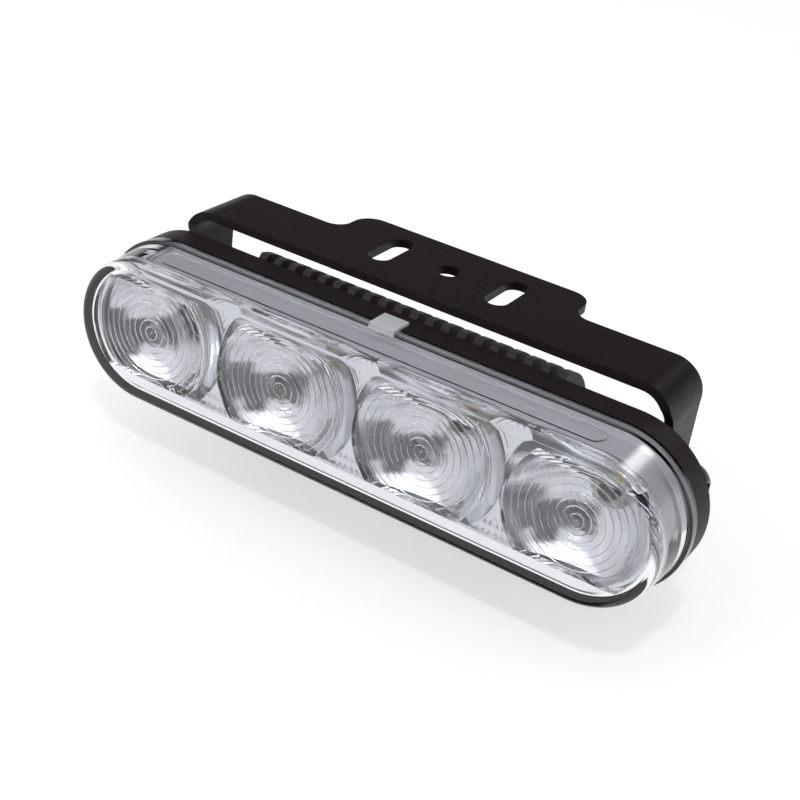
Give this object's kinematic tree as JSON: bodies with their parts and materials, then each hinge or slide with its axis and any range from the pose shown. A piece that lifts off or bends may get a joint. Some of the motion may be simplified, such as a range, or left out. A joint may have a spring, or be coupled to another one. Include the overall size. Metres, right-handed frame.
{
  "type": "daytime running light",
  "caption": "Oblong daytime running light with clear ribbed lenses, a finned black housing and a slotted steel bracket it tilts in.",
  "frame": {"origin": "centre of the round hole in the bracket's mounting face", "axes": "+X along the lamp, -Y the way the light goes, +Z the normal of the mounting face, away from the lamp"},
  "size_m": [0.149, 0.0499, 0.0431],
  "materials": {
    "clear_lens": "clear moulded polycarbonate",
    "bright_metal": "vacuum metallised",
    "led_ceramic": "matte white",
    "led_silicone": "clear with a yellow phosphor under it",
    "board_white": "white solder mask",
    "pad_grey": "soft",
    "zinc_screw": "zinc plated",
    "seal_rubber": "soft black",
    "black_casting": "black powder coat on a die casting",
    "black_steel": "satin black coat on sheet steel",
    "black_screw": "black oxide",
    "nylon": "natural nylon"
  },
  "bodies": {
    "mounting_bracket": {"bracket": "black_steel"},
    "lamp": {"front_lens": "clear_lens", "reflector": "bright_metal", "led_base_1": "led_ceramic", "led_base_2": "led_ceramic", "led_base_3": "led_ceramic", "led_base_4": "led_ceramic", "led_dome_1": "led_silicone", "led_dome_2": "led_silicone", "led_dome_3": "led_silicone", "led_dome_4": "led_silicone", "led_board": "board_white", "thermal_pad": "pad_grey", "board_screws": "zinc_screw", "gasket": "seal_rubber", "housing": "black_casting", "cable_grommet": "seal_rubber", "left_screw": "black_screw", "right_screw": "black_screw", "left_lock_washer": "black_screw", "right_lock_washer": "black_screw", "left_flat_washer": "black_screw", "right_flat_washer": "black_screw", "left_friction_washer": "nylon", "right_friction_washer": "nylon"}
  },
  "joints": [
    {"name": "lamp_tilt", "type": "hinge", "parent": "mounting_bracket", "child": "lamp", "pos_m": [0, -0.006, -0.0235], "axis": [1, 0, 0], "range_deg": [-6, 30]}
  ]
}
